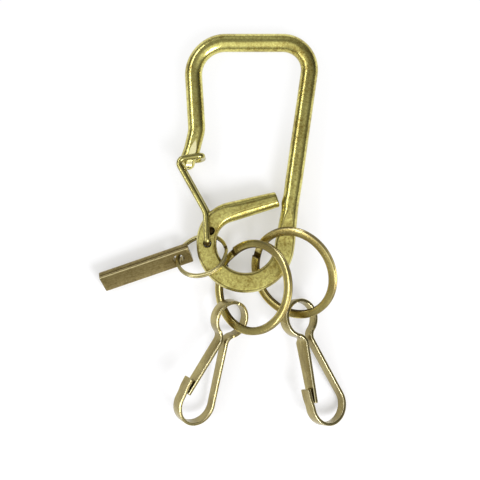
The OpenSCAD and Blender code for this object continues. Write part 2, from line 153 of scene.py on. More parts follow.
# Ring wire: how full its section is, where an oval has 1 and an oblong 0, its painted highlights
# along the crests, and the painted shade on its inner and outer walls
RING_CROWN = 0.72
CREST_HIGHLIGHT, CREST_AT, CREST_REACH = 0.6, 0.9, 0.3
INNER_WALL_DARK, INNER_WALL_FROM, INNER_WALL_RISE = 0.9, 0.72, 0.15
OUTER_WALL_DARK, OUTER_WALL_FROM, OUTER_WALL_RISE = 0.6, 0.85, 0.1

# ---- tag ----------------------------------------------------------------------------------

TAG_SPOT = (-24.4684, -68.8084, 1.57493)
TAG_HEADING, TAG_ROLL, TAG_PITCH = 18.9, 42.0, 2.07906
TAG_LENGTH, TAG_W, TAG_T = 30.0, 6.3, 2.9
TAG_HOLE_R, TAG_HOLE_RIM, TAG_HOLE_EDGE = 1.7, 0.25, 4.1
TAG_BEVEL = 0.28
TAG_END = ((0.0, 0.28), (0.06, 0.12), (0.28, 0.0))
TAG_STEPS, TAG_STEPS_FROM = 40, 0.3
# The shallow line along the tag's side, with painted shade in it: its height, then (offset, depth,
# mark) over it
TAG_LINE_AT = 0.35
TAG_LINE = ((-0.2, 0.0, 0.0), (-0.07, 0.04, -1.0), (0.07, 0.04, -1.0), (0.2, 0.0, 0.0))

# ---- snap hooks ---------------------------------------------------------------------------
# Place of the eye, heading, roll and swivel, and how much wider the spring's root is on its
# upper and on its lower side

HOOKS = {1: dict(place=(-7.82068, -88.8018, 2.5996), heading=-17.5, roll=34.2, swivel=-4.6,
                 root=(0.4, 0.0)),
         2: dict(place=(14.28932, -88.4018, 4.28948), heading=12.5, roll=31.3, swivel=7.4,
                 root=(0.2, 1.7))}
# The strip is STRIP_W wide on the spring's side and STRIP_LEG_W on the other.
STRIP_T, STRIP_W, STRIP_LEG_W, STRIP_EDGE = 1.1, 4.1, 3.2, 0.24
EYE_R, EYE_TURN = 5.6, 150.3
WAIST_R, LEG_LEAN, SPRING_LEAN = 2.9, 11.3, 12.0
LEG_LENGTH, BOTTOM_R, KEEPER_LEAN, KEEPER_LENGTH = 20.4, 6.2, 7.2, 6.7
SPRING_LENGTH = 19.1
STRIP_STEP = 0.4
# Edges that turn by more degrees than this are drawn sharp.
STRIP_SHARP = 45
STRIP_END = ((0.0, 0.2), (0.06, 0.08), (0.2, 0.0))
# The keeper's trough: depth, and shares of the keeper's length where it has ended and over
# which it fades
TROUGH, TROUGH_TO, TROUGH_FADE = 0.35, 0.9, 0.5
# Twist in degrees at the spring's root and tip, and the length before the waist over which it
# and the root's width set in
SPRING_TWIST, TIP_TWIST, ROOT_REACH = 4.0, 3.0, 2.5


# ---- bent lines ---------------------------------------------------------------------------

def clamp(t):
    return min(1.0, max(0.0, t))


def smooth(t):
    t = clamp(t)
    return t * t * (3 - 2 * t)


def mix(a, b, t):
    return a + (b - a) * t


def soft_min(a, b, soft):
    """The smaller of a and b, rounded off where they are alike."""
    h = clamp(0.5 + 0.5 * (a - b) / soft)
    return mix(a, b, h) - soft * h * (1 - h)


def left_of(heading):
    h = math.radians(heading)
    return Vector((-math.sin(h), math.cos(h), 0))


def walk(start, legs, step, least=6):
    """Stations (x, y, heading, length) along the straights and bends, at least so many a bend."""
    x, y, heading = start
    out, length = [(x, y, heading, 0.0)], 0.0
    for straight, radius, turn_by in legs:
        h = math.radians(heading)
        parts = max(1, round(straight / step))
        for i in range(1, parts + 1):
            d = straight * i / parts
            out.append((x + d * math.cos(h), y + d * math.sin(h), heading, length + d))
        x, y, length = x + straight * math.cos(h), y + straight * math.sin(h), length + straight
        if radius:
            side = -1 if turn_by < 0 else 1
            cx, cy = x - side * radius * math.sin(h), y + side * radius * math.cos(h)
            arc = abs(math.radians(turn_by)) * radius
            parts = max(least, round(arc / step))
            for i in range(1, parts + 1):
                a = math.radians(heading + turn_by * i / parts)
                out.append((cx + side * radius * math.sin(a), cy - side * radius * math.cos(a),
                            heading + turn_by * i / parts, length + arc * i / parts))
            x, y, heading, length = out[-1]
    return out


# ---- sections: lists of (across, up, mark) ------------------------------------------------
# A mark of 1 is rubbed bright on corners and a painted highlight elsewhere; a mark of -1 is painted
# shade.

def pressed_section(w, tall, t, points=120, soft=0.1):
    """An oval w across and tall, whose top and bottom are pressed flat to thickness t."""
    out = []
    flat_to = w / 2 * math.sqrt(max(0.0, 1 - (t / tall) ** 2))
    seam_share = smooth((flat_to - SEAM_FROM) / SEAM_RISE)
    for i in range(points):
        a = 2 * math.pi * i / points
        across, up = w / 2 * math.cos(a), tall / 2 * math.sin(a)
        flat = soft_min(t / 2, abs(up), soft)
        seam = seam_share * math.exp(-((abs(across) - flat_to) / SEAM_REACH) ** 2)
        # The seam's mark below 0 is painted shade.
        out.append((across, math.copysign(flat - SEAM_DEPTH * seam, up), -SEAM_SHADE * seam))
    return out


def rounded_section(w, t, r, per_corner=5):
    """A rectangle w across and t high with rounded corners that are rubbed bright."""
    out = []
    for cx, cy, start in ((1, 1, 0), (-1, 1, 90), (-1, -1, 180), (1, -1, 270)):
        for i in range(per_corner):
            part = i / (per_corner - 1)
            a = math.radians(start + 90 * part)
            out.append((cx * (w / 2 - r) + r * math.cos(a), cy * (t / 2 - r) + r * math.sin(a),
                        1 - abs(2 * part - 1)))
    return out


def crowned_section(w, t, points=36):
    """Ring wire w across and t high, with bulging faces, painted highlights on its crests and
    painted shade on its walls.
    """
    out = []
    for i in range(points):
        a = 2 * math.pi * i / points
        c, d = math.cos(a), math.sin(a)
        from_crest = abs(abs(a % math.pi - math.pi / 2) - CREST_AT)
        mark = CREST_HIGHLIGHT * smooth(1 - from_crest / CREST_REACH)
        mark = mix(mark, -INNER_WALL_DARK, smooth((-c - INNER_WALL_FROM) / INNER_WALL_RISE))
        mark = mix(mark, -OUTER_WALL_DARK, smooth((c - OUTER_WALL_FROM) / OUTER_WALL_RISE))
        out.append((w / 2 * math.copysign(abs(c) ** RING_CROWN, c),
                    t / 2 * math.copysign(abs(d) ** RING_CROWN, d), mark))
    return out


def round_section(r, mark, points=28):
    return [(r * math.cos(2 * math.pi * i / points), r * math.sin(2 * math.pi * i / points), mark)
            for i in range(points)]


def shrunk(section, by):
    """The section pulled in by a length, for the rounded edge of an end."""
    reach_a = max(abs(point[0]) for point in section)
    reach_b = max(abs(point[1]) for point in section)
    return [(a * (1 - by / reach_a), b * (1 - by / reach_b), mark) for a, b, mark in section]


def padded(section, pad):
    """The section fuller by pad, which is 0 or more, on the side where across is positive."""
    reach = max(abs(point[0]) for point in section)
    return [(a + (pad * (a / reach) ** 2 if a > 0 else 0.0), b, mark)
            for a, b, mark in section]


# ---- meshes -------------------------------------------------------------------------------

def add_object(name, data):
    obj = bpy.data.objects.new(name, data)
    bpy.context.scene.collection.objects.link(obj)
    return obj


def skin(rings, count):
    """Faces between rings of count points each, and then one face over each end."""
    faces = []
    for s in range(rings - 1):
        for i in range(count):
            j = (i + 1) % count
            faces.append((s * count + i, s * count + j, (s + 1) * count + j, (s + 1) * count + i))
    faces.append(tuple(reversed(range(count))))
    faces.append(tuple((rings - 1) * count + i for i in range(count)))
    return faces


def round_ends(stations, profile, way=1, mark=None):
    """Rounds the edges of both ends by a list of (length back, pulled in).

    The line runs along across x up where way is 1. A mark is given to both ends.
    """
    for index, sign in ((0, 1), (-1, -1)):
        centre, across, up, section, s = stations[index]
        along = across.cross(up) * sign * way
        if mark is not None:
            section = [(a, b, mark) for a, b, _ in section]
        caps = [(Vector(centre) + along * back, across, up, shrunk(section, by), s + sign * back)
                for back, by in profile]
        if index == 0:
            stations[0:1] = caps
        else:
            stations[-1:] = reversed(caps)


def loft(name, stations):
    """A closed skin over stations, each (centre, across axis, up axis, section, length)."""
    count = len(stations[0][3])
    verts, marks = [], []
    for centre, across, up, section, _ in stations:
        for a, b, mark in section:
            verts.append((Vector(centre) + across * a + up * b) * MM)
            marks.append(mark)
    girth = [0.0]
    base = stations[len(stations) // 2][3]
    for i in range(count):
        a, b = base[i], base[(i + 1) % count]
        girth.append(girth[-1] + math.hypot(b[0] - a[0], b[1] - a[1]))
    spots = []
    for before, after in zip(stations, stations[1:]):
        u0, u1 = before[4], after[4]
        for i in range(count):
            spots.append(((u0, girth[i]), (u0, girth[i + 1]), (u1, girth[i + 1]), (u1, girth[i])))
    spots.append(tuple(point[:2] for point in reversed(stations[0][3])))
    spots.append(tuple(point[:2] for point in stations[-1][3]))
    mesh = bpy.data.meshes.new(name)
    mesh.from_pydata(verts, [], skin(len(stations), count))
    uv = mesh.uv_layers.new(name="length_girth")
    uv.data.foreach_set("uv", [value for face in spots for spot in face for value in spot])
    mesh.attributes.new("mark", "FLOAT", "POINT").data.foreach_set("value", marks)
    return add_object(name, mesh)


def finish_mesh(obj, angle):
    """Outward faces and smooth shading, with edges sharp where they turn by more than angle."""
    work = bmesh.new()
    work.from_mesh(obj.data)
    bmesh.ops.recalc_face_normals(work, faces=work.faces)
    work.to_mesh(obj.data)
    work.free()
    obj.data.shade_smooth()
    obj.data.set_sharp_from_angle(angle=math.radians(angle))


def cut(obj, cutters):
    """Cuts the cutters out of the mesh, and removes them."""
    for cutter in cutters:
        modifier = obj.modifiers.new("cut", "BOOLEAN")
        modifier.operation, modifier.solver, modifier.object = "DIFFERENCE", "EXACT", cutter
    bpy.context.view_layer.update()
    done = obj.evaluated_get(bpy.context.evaluated_depsgraph_get())
    mesh = bpy.data.meshes.new_from_object(done)
    obj.modifiers.clear()
    obj.data = mesh
    for cutter in cutters:
        bpy.data.objects.remove(cutter)


def hole_cutter(name, centre, half_depth, r, rim, waist=None, waist_from=0.0, sides=48):
    """A hole with broken rims, and a narrower waist in its middle where waist is given."""
    over, slope = 1.0, 0.1
    half = [(r + rim + over, half_depth + over), (r, half_depth - rim)]
    if waist:
        half += [(r, waist_from + slope), (waist, waist_from)]
    profile = [(radius, -z) for radius, z in half] + [(radius, z) for radius, z in reversed(half)]
    verts = []
    for radius, z in profile:
        for i in range(sides):
            a = 2 * math.pi * i / sides
            verts.append(Vector((centre[0] + radius * math.cos(a),
                                 centre[1] + radius * math.sin(a), z)) * MM)
    mesh = bpy.data.meshes.new(name)
    mesh.from_pydata(verts, [], skin(len(profile), sides))
    return add_object(name, mesh)


def place(obj, matrix):
    """Moves the mesh itself, in millimetres."""
    obj.data.transform(Matrix.Scale(MM, 4) @ matrix @ Matrix.Scale(1 / MM, 4))


def turn(degrees, axis):
    return Matrix.Rotation(math.radians(degrees), 4, axis)


LEANED = turn(-LEAN, "X")


# ---- rod ----------------------------------------------------------------------------------

def bar_share(s):
    """1 along the belt bar, fading to 0 round its corners."""
    return 1 - smooth((s - BAR_HALF) / BAR_FADE)


def faceted(section, t):
    """The nose's inner shoulder ground off on the slant, deeper towards its tip, with a painted
    highlight on it.
    """
    slant = math.radians(FACET_SLANT)
    depth = mix(FACET_START, FACET_DEPTH, smooth(t * FACET_RISE))
    top = (max(point[1] for point in section) - depth) / math.cos(slant)
    out = []
    for a, b, mark in section:
        limit = top + a * math.tan(slant)
        # Where the facet cuts, it takes mark 1: a painted highlight.
        if a < FACET_EDGE and b > limit:
            b, mark = limit, 1.0
        out.append((a, b, mark))
    return out


def pointed(section, to_tip):
    """The nose ends in a rounded point, with a waist on its inner side."""
    half = max(abs(point[0]) for point in section)
    outer, inner = (mix(half, width, smooth((begin - to_tip) / over))
                    for width, begin, over in (NOSE_OUTER, NOSE_INNER))
    arc = 1 - max(0.0, 1 - to_tip / NOSE_TIP_ROUND) ** 2
    outer *= math.sin(math.pi / 2 * min(1.0, to_tip / NOSE_OUTER_ROUND))
    inner *= math.sqrt(arc)
    low = arc ** NOSE_TIP_POWER
    return [(a * (outer if a > 0 else inner) / half, b * low, mark) for a, b, mark in section]


def nose_stations(up):
    """From the nose's tip, at a length below 0, to the middle of the belt bar at 0."""
    left = walk((0, 0, 180), LEFT_LEGS, ROD_STEP)
    x, y, heading, end = left[-1]
    nose_from, tip = end - NOSE_LENGTH, end + NOSE_W / 2
    h = math.radians(heading)
    for i in range(1, TIP_STEPS + 1):
        d = NOSE_W / 2 * math.sin(math.pi / 2 * i / (TIP_STEPS + 0.5))
        left.append((x + d * math.cos(h), y + d * math.sin(h), heading, end + d))
    stations = []
    for x, y, heading, s in reversed(left):
        t = (s - nose_from) / NOSE_LENGTH
        thick = mix(2 * ROD_R, NOSE_T, smooth(t))
        pad = ROD_SWELL * (1 - smooth(t + NOSE_SWELL_LEAD))
        section = padded(pressed_section(2 * (ROD_R + pad), thick, thick),
                         BAR_SWELL * bar_share(s))
        stations.append(((x, y, 0), -left_of(heading), up,
                         pointed(faceted(section, t), tip - s), -s))
    return stations


def curl_stations(up):
    """From the middle of the belt bar down the long side, round the curl and to the tongue."""
    right = walk((0, 0, 0), RIGHT_LEGS, ROD_STEP)
    corner = RIGHT_LEGS[0][0] + math.radians(RIGHT_TURN) * RIGHT_LEGS[0][1]
    press = corner + ROUND_LENGTH
    tongue_from = right[-1][3] - TONGUE_LENGTH
    stations = []
    for x, y, heading, s in right[1:]:
        pressed = clamp((s - press) / PRESS_LENGTH)
        w = mix(2 * ROD_R, CURL_W, pressed)
        w = mix(w, TONGUE_W, max(0.0, (s - tongue_from) / TONGUE_LENGTH))
        fade = smooth((s - tongue_from) / TONGUE_FADE + TONGUE_FADE_LEAD)
        thick = mix(2 * ROD_R * PRESS_OPEN, CURL_T, pressed)
        thick = mix(thick, TONGUE_FLAT_T, fade)
        tall = mix(w, thick / math.sqrt(1 - TONGUE_FLAT_SHARE ** 2), fade)
        pad = ROD_SWELL * (1 - smooth((s - press) / PRESS_LENGTH + 1))
        bump = PRESS_BUMP * math.exp(-((s - press + PRESS_BUMP_BEFORE) / PRESS_BUMP_LENGTH) ** 2)
        section = [(a - (bump if a < 0 else 0) * (a / ROD_R) ** 2, b, mark)
                   for a, b, mark in pressed_section(w + 2 * pad, tall, thick)]
        section = [(a + TONGUE_FLAT_SHIFT * fade * (1 - (2 * a / w) ** 2), b, mark)
                   for a, b, mark in section]
        section = padded(section, BAR_SWELL * bar_share(s))
        stations.append(((x, y, 0), left_of(heading), up, section, s))
    return stations


def cut_tongue(stations):
    """The end of the tongue is cut aslant, with a rounded edge."""
    centre, across, up, section, s = stations[-1]
    along = Vector((across.y, -across.x, 0))
    slant = -math.tan(math.radians(TONGUE_CUT))
    while (Vector(stations[-1][0]) - Vector(centre)).length < TONGUE_W * TONGUE_CUT_SHARE:
        stations.pop()
    for back, by in TONGUE_END:
        flat = shrunk(section, by) if by else section
        stations.append((Vector(centre) - along * back, across + along * slant, up, flat,
                         s - back))


def paint_hole_shade(obj, holes):
    """Paints shade on the walls of the gate's holes."""
    marks = obj.data.attributes["mark"].data
    for vertex in obj.data.vertices:
        for x, y in holes:
            away = math.hypot(vertex.co.x / MM - x, vertex.co.y / MM - y)
            if away < HOLE_R + HOLE_RIM + HOLE_NEAR:
                marks[vertex.index].value = -1.0


def build_rod():
    up = Vector((0, 0, 1))
    stations = nose_stations(up) + curl_stations(up)
    cut_tongue(stations)
    obj = loft("rod", stations)
    cut(obj, [hole_cutter(name, centre, CURL_T / 2, HOLE_R, HOLE_RIM, HOLE_WAIST_R,
                          HOLE_WAIST_FROM)
              for name, centre in (("front_cutter", FRONT_HOLE), ("back_cutter", BACK_HOLE))])
    paint_hole_shade(obj, (FRONT_HOLE, BACK_HOLE))
    place(obj, LEANED)
    finish_mesh(obj, ROD_SHARP)
    return obj


# ---- gate wire ----------------------------------------------------------------------------

def tube(name, points, r, shade_to):
    """A round wire along 3D points with blunted ends, and painted shade from its first point to the
    given one.
    """
    stations, length = [], 0.0
    side = None
    for i, p in enumerate(points):
        ahead = (points[min(i + 1, len(points) - 1)] - points[max(i - 1, 0)]).normalized()
        if side is None:
            side = ahead.orthogonal().normalized()
        side = (side - ahead * side.dot(ahead)).normalized()
        if i:
            length += (p - points[i - 1]).length
        # Painted shade near the foot, where the wire goes into its hole.
        mark = -smooth((shade_to + FOOT_FADE / 2 - i) / FOOT_FADE)
        stations.append((p, side, ahead.cross(side), round_section(r, mark), length))
    round_ends(stations, WIRE_END)
    return loft(name, stations)


def gate_path(hole, bends, stub_depth, end_depth, span):
    """Points of one leg, with z measured from the middle of the rod."""
    foot_heading, knee_turn, cross_inset = bends
    foot_length, leg_length, cross_length = span
    h = math.radians(foot_heading)
    foot = (hole[0] + ELBOW_R * math.cos(h), hole[1] + ELBOW_R * math.sin(h), foot_heading)
    legs = [(foot_length, KNEE_R, knee_turn),
            (leg_length, TOP_R, TOP_HEADING - foot_heading - knee_turn),
            (cross_length - cross_inset, 0, 0)]
    flat = walk(foot, legs, WIRE_STEP)
    points = [Vector((hole[0], hole[1], LEG_STAND - stub_depth))]
    for i in range(ELBOW_STEPS + 1):
        a = math.pi / 2 * i / ELBOW_STEPS
        d = ELBOW_R * (1 - math.cos(a))
        points.append(Vector((hole[0] + d * math.cos(h), hole[1] + d * math.sin(h),
                              LEG_STAND - ELBOW_R + ELBOW_R * math.sin(a))))
    points += [Vector((x, y, LEG_STAND)) for x, y, _, _ in flat[1:]]
    x, y, heading, _ = flat[-1]
    h = math.radians(heading)
    for i in range(1, ELBOW_STEPS + 1):
        a = math.pi / 2 * i / ELBOW_STEPS
        d = ELBOW_R * math.sin(a)
        points.append(Vector((x + d * math.cos(h), y + d * math.sin(h),
                              LEG_STAND - ELBOW_R + ELBOW_R * math.cos(a))))
    points.append(Vector((points[-1].x, points[-1].y, LEG_STAND - end_depth)))
    return points


def build_gate():
    depth = LEG_STAND + CURL_T / 4
    end = LEG_STAND - WIRE_SPLIT
    front = gate_path(FRONT_HOLE, FRONT_BENDS, depth, end, FRONT_SPAN)
    back = gate_path(BACK_HOLE, BACK_BENDS, depth, end, BACK_SPAN)
    back = [Vector((p.x, p.y, -p.z)) for p in back]
    pieces = []
    for name, points, body, node in (("gate_front", front, "gate_front", "gate_wire_front"),
                                     ("gate_back", back, "gate_back", "gate_wire_back")):
        obj = tube(name, points, WIRE_R, FOOT_SHADE_TO)
        place(obj, LEANED)
        finish_mesh(obj, WIRE_SHARP)
        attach(obj, body)
        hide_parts(node)
        pieces.append(obj)
    return pieces


# ---- rings --------------------------------------------------------------------------------

def build_ring(name, ring, body, node):
    """Two coils of one wire, with its two ends either side of the crossing."""
    mean_r, coil_t, side = (ring["d"] - ring["w"]) / 2, ring["t"] / 2, ring["side"]
    section = crowned_section(ring["w"], coil_t - COIL_GAP)
    total = 720 - COIL_BREAK
    angles = [0.0]
    while angles[-1] < total:
        crossing_near = abs(angles[-1] - 360) < COIL_BREAK
        angles.append(min(total, angles[-1] + (CROSSING_STEP if crossing_near else COIL_STEP)))
    stations = []
    for angle in angles:
        crossing = smooth((angle - (360 - COIL_BREAK)) / COIL_BREAK)
        level = mix(coil_t / 2, -coil_t / 2, crossing)
        a = math.radians(ring["free_end"] + side * angle)
        out = Vector((math.cos(a), math.sin(a), 0))
        # Painted shadow in the step under the upper free end, just before a full turn.
        dark = ring["step_shadow"] * smooth((angle - 360 + STEP_SHADOW + STEP_FADE / 2) / STEP_FADE)
        dark *= smooth((360 + STEP_FADE - angle) / STEP_FADE)
        marked = [(b, c, mark * (1 - dark) - dark) for b, c, mark in section]
        stations.append((out * mean_r + Vector((0, 0, level)), out, Vector((0, 0, 1)), marked,
                         math.radians(angle) * mean_r))
    # Both ends of the ring wire get painted shade.
    round_ends(stations, COIL_END, way=-side, mark=-1.0)
    obj = loft(name, stations)
    place(obj, Matrix.Translation(Vector(ring["place"])) @ turn(ring["heading"], "Z")
          @ turn(-ring["tilt"], "Y"))
    finish_mesh(obj, WIRE_SHARP)
    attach(obj, body)
    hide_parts(node)
    return obj


# ---- tag ----------------------------------------------------------------------------------

def build_tag():
    section = rounded_section(TAG_W, TAG_T, TAG_BEVEL)
    section += [(TAG_W / 2 - depth, TAG_LINE_AT + offset, mark) for offset, depth, mark in TAG_LINE]
    across, up = Vector((0, 1, 0)), Vector((0, 0, 1))
    near, far = TAG_HOLE_EDGE, TAG_HOLE_EDGE - TAG_LENGTH
    stations = [((far + back, 0, 0), across, up, shrunk(section, by), back)
                for back, by in TAG_END]
    for i in range(1, TAG_STEPS):
        x = mix(far + TAG_STEPS_FROM, near - TAG_STEPS_FROM, i / TAG_STEPS)
        stations.append(((x, 0, 0), across, up, section, x - far))
    stations += [((near - back, 0, 0), across, up, shrunk(section, by), TAG_LENGTH - back)
                 for back, by in reversed(TAG_END)]
    obj = loft("tag", stations)
    cut(obj, [hole_cutter("tag_cutter", (0, 0), TAG_T / 2, TAG_HOLE_R, TAG_HOLE_RIM)])
    place(obj, Matrix.Translation(Vector(TAG_SPOT)) @ turn(TAG_HEADING, "Z")
          @ turn(-TAG_PITCH, "Y") @ turn(TAG_ROLL, "X"))
    finish_mesh(obj, ROD_SHARP)
    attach(obj, "tag")
    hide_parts("bar_tag")
    return obj


# ---- snap hooks ---------------------------------------------------------------------------

def hook_line():
    """Stations of the strip from the keeper's end to the tongue's tip, and the waist's index."""
    right = [(0, EYE_R, -EYE_TURN), (0, WAIST_R, EYE_TURN - 90 + LEG_LEAN),
             (LEG_LENGTH, BOTTOM_R, -(180 + LEG_LEAN + KEEPER_LEAN)), (KEEPER_LENGTH, 0, 0)]
    left = [(0, EYE_R, EYE_TURN), (0, WAIST_R, -(EYE_TURN - 90 + SPRING_LEAN)),
            (SPRING_LENGTH, 0, 0)]
    out = [(x, y, heading + 180, -s)
           for x, y, heading, s in reversed(walk((0, EYE_R, 0), right, STRIP_STEP))]
    waist = len(out) + len(walk((0, EYE_R, 180), left[:2], STRIP_STEP)) - 2
    out += walk((0, EYE_R, 180), left, STRIP_STEP)[1:]
    return out, waist


def strip_width(x):
    reach = EYE_R + STRIP_T / 2
    return mix(STRIP_W, STRIP_LEG_W, clamp((x + reach) / (2 * reach)))


def hook_stations(line, waist, root_wider):
    """Sections along the strip, with the keeper's trough and the spring's wider, twisted root."""
    keeper_from, waist_at, tip_at = line[0][3], line[waist][3], line[-1][3]
    stations = []
    for x, y, heading, s in line:
        w = strip_width(x)
        section = rounded_section(STRIP_T, w, STRIP_EDGE)
        trough = smooth((keeper_from + KEEPER_LENGTH * TROUGH_TO - s)
                        / (KEEPER_LENGTH * TROUGH_FADE))
        if trough > 0:
            section = [(a - trough * TROUGH * (2 * b / w) ** 2, b, mark)
                       for a, b, mark in section]
        root = smooth((s - waist_at) / ROOT_REACH + 1)
        along_spring = clamp((s - waist_at) / (tip_at - waist_at))
        twist = math.radians(mix(SPRING_TWIST, TIP_TWIST, along_spring) * root)
        above, below = (wider * (1 - along_spring) * root for wider in root_wider)
        section = [(a, b * (1 + 2 * (above if b > 0 else below) / w), mark)
                   for a, b, mark in section]
        across, up = left_of(heading), Vector((0, 0, 1))
        stations.append(((x, y, 0), across * math.cos(twist) - up * math.sin(twist),
                         up * math.cos(twist) + across * math.sin(twist), section, s))
    return stations


def build_hook(number):
    pose = HOOKS[number]
    line, waist = hook_line()
    stations = hook_stations(line, waist, pose["root"])
    round_ends(stations, STRIP_END)
    obj = loft(f"snap_hook_strip_{number}", stations)
    lay = (Matrix.Translation(Vector(pose["place"])) @ turn(pose["heading"], "Z")
           @ turn(pose["roll"], "Y") @ turn(pose["swivel"], "Z"))
    place(obj, lay)
    finish_mesh(obj, STRIP_SHARP)
    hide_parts(f"snap_hook_{number}", f"snap_tongue_{number}")
    x, y, heading, _ = line[waist]
    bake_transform(obj)
    return obj


rod = build_rod()
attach(rod, "frame")
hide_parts("frame_rod")
gate_pieces = build_gate()
key_rings = [build_ring("key_ring_1_coils", KEY_RING_1, "key_ring_1", "key_ring_1"),
             build_ring("key_ring_2_coils", KEY_RING_2, "key_ring_2", "key_ring_2")]
tag_ring = build_ring("tag_ring_coils", TAG_RING, "tag_ring", "tag_ring")
tag = build_tag()
hooks = [build_hook(1), build_hook(2)]


# ---- shader nodes -------------------------------------------------------------------------

def feed(tree, target, value):
    """Gives an input a number, or joins it to an output."""
    if isinstance(value, float):
        target.default_value = value
    else:
        tree.links.new(value, target)


def maths(tree, operation, a, b):
    node = tree.nodes.new("ShaderNodeMath")
    node.operation = operation
    feed(tree, node.inputs[0], a)
    feed(tree, node.inputs[1], b)
    return node.outputs[0]


def ranged(tree, value, band, low, high, curve="LINEAR"):
    """Goes from low to high as the value goes through the band."""
    node = tree.nodes.new("ShaderNodeMapRange")
    node.interpolation_type = curve
    for key, number in zip(("From Min", "From Max", "To Min", "To Max"), (*band, low, high)):
        node.inputs[key].default_value = number
    tree.links.new(value, node.inputs["Value"])
    return node.outputs["Result"]


def noise(tree, vector, scale, detail, rough):
    node = tree.nodes.new("ShaderNodeTexNoise")
    for key, number in (("Scale", scale), ("Detail", detail), ("Roughness", rough)):
        node.inputs[key].default_value = number
    tree.links.new(vector, node.inputs["Vector"])
    return node.outputs["Fac"]


def blended(tree, factor, a, b):
    """Colour a where the factor is 0 and colour b where it is 1."""
    node = tree.nodes.new("ShaderNodeMix")
    node.data_type = "RGBA"
    tree.links.new(factor, node.inputs["Factor"])
    for socket, value in (("A", a), ("B", b)):
        target = [i for i in node.inputs if i.name == socket and i.type == "RGBA"][0]
        if isinstance(value, tuple):
            target.default_value = (*value, 1.0)
        else:
            tree.links.new(value, target)
    return [o for o in node.outputs if o.type == "RGBA"][0]


# ---- materials ----------------------------------------------------------------------------

# The colour of painted shade, where a mark is -1
PAINTED_SHADE = (0.07, 0.042, 0.005)
COAT, COAT_ROUGHNESS = 0.2, 0.12
# Noise patterns by place in metres: scale, detail, roughness
SPECKLE, MOTTLE, BROAD = (1500.0, 5.0, 0.75), (900.0, 3.0, 0.6), (90.0, 2.0, 0.5)
# Noise pattern by length and girth in millimetres, drawn out along the length
STREAKS, STREAK_STRETCH = (1.6, 4.0, 0.6), (0.12, 3.0, 1.0)
# The bands of those patterns that go from none to full, and what each gives to the dark tone
AGED_BAND, SPOT_BAND = (0.4, 0.62), (0.35, 0.65)
FLECK_BAND, STREAK_BAND = (0.45, 0.7), (0.35, 0.65)
AGED_SHARE, GRAIN_SHARE, SPOT_SHARE, FLECK_SHARE = 0.35, 0.5, 0.8, 0.5
# Share of the worn and highlight colour where a mark is 1: rubbed wear on corners, painted
# highlight elsewhere
RUB_AND_HIGHLIGHT_SHARE = 0.8
# What the dark tone, a bright mark (rubbed wear and painted highlight) and painted shade add to the
# roughness
DARK_ROUGHER, RUB_AND_HIGHLIGHT_ROUGHER, PAINTED_SHADE_ROUGHER = 0.14, -0.08, 0.4
# Bump: strength, depth in metres, and what speckle and streaks give to it
BUMP_STRENGTH, BUMP_DEPTH, BUMP_SPECKLE, BUMP_STREAK = 0.55, 0.00005, 0.6, 1.5


def brass(name, light, dark, worn_and_highlight, roughness, grain, streak):
    """Aged brass: grain and patina by place, lengthwise streaks, and the mesh's own marks of rubbed
    wear, painted highlight and painted shade.
    """
    material = bpy.data.materials.new(name)
    material.use_nodes = True
    tree = material.node_tree
    nodes, links = tree.nodes, tree.links
    shader = nodes["Principled BSDF"]
    shader.inputs["Metallic"].default_value = 1.0
    shader.inputs["Coat Weight"].default_value = COAT
    shader.inputs["Coat Roughness"].default_value = COAT_ROUGHNESS

    spot = nodes.new("ShaderNodeTexCoord")
    lengthwise = nodes.new("ShaderNodeMapping")
    lengthwise.inputs["Scale"].default_value = STREAK_STRETCH
    links.new(spot.outputs["UV"], lengthwise.inputs["Vector"])
    speckle, mottle, broad = (noise(tree, spot.outputs["Object"], *pattern)
                              for pattern in (SPECKLE, MOTTLE, BROAD))
    streaks = noise(tree, lengthwise.outputs["Vector"], *STREAKS)

    aged = ranged(tree, broad, AGED_BAND, 0.0, 1.0)
    spots = ranged(tree, speckle, SPOT_BAND, 0.0, 1.0)
    flecks = ranged(tree, mottle, FLECK_BAND, 0.0, 1.0)
    lines = ranged(tree, streaks, STREAK_BAND, 0.0, 1.0)
    grainy = maths(tree, "ADD", maths(tree, "MULTIPLY", spots, SPOT_SHARE * grain),
                   maths(tree, "MULTIPLY", flecks, FLECK_SHARE * grain))
    fine = maths(tree, "ADD", maths(tree, "MULTIPLY", grainy, GRAIN_SHARE),
                 maths(tree, "MULTIPLY", lines, streak))
    tone = maths(tree, "ADD", maths(tree, "MULTIPLY", aged, AGED_SHARE), fine)
    tone.node.use_clamp = True

    own_mark = nodes.new("ShaderNodeAttribute")
    own_mark.attribute_name = "mark"
    # The mark: rubbed wear and painted highlight above 0, painted shade below 0
    rub_and_highlight = ranged(tree, own_mark.outputs["Fac"], (0.0, 1.0), 0.0, RUB_AND_HIGHLIGHT_SHARE)
    seam = ranged(tree, own_mark.outputs["Fac"], (0.0, -1.0), 0.0, 1.0)
    colour = blended(tree, rub_and_highlight, blended(tree, tone, light, dark), worn_and_highlight)
    links.new(blended(tree, seam, colour, PAINTED_SHADE), shader.inputs["Base Color"])

    rough = maths(tree, "ADD",
                  ranged(tree, tone, (0.0, 1.0), roughness, roughness + DARK_ROUGHER),
                  maths(tree, "MULTIPLY", rub_and_highlight, RUB_AND_HIGHLIGHT_ROUGHER))
    rough = maths(tree, "ADD", rough, maths(tree, "MULTIPLY", seam, PAINTED_SHADE_ROUGHER))
    links.new(rough, shader.inputs["Roughness"])

    height = maths(tree, "ADD", maths(tree, "MULTIPLY", speckle, BUMP_SPECKLE * grain),
                   maths(tree, "MULTIPLY", streaks, BUMP_STREAK * streak))
    bump = nodes.new("ShaderNodeBump")
    bump.inputs["Strength"].default_value = BUMP_STRENGTH
    bump.inputs["Distance"].default_value = BUMP_DEPTH
    links.new(height, bump.inputs["Height"])
    links.new(bump.outputs["Normal"], shader.inputs["Normal"])
    return material


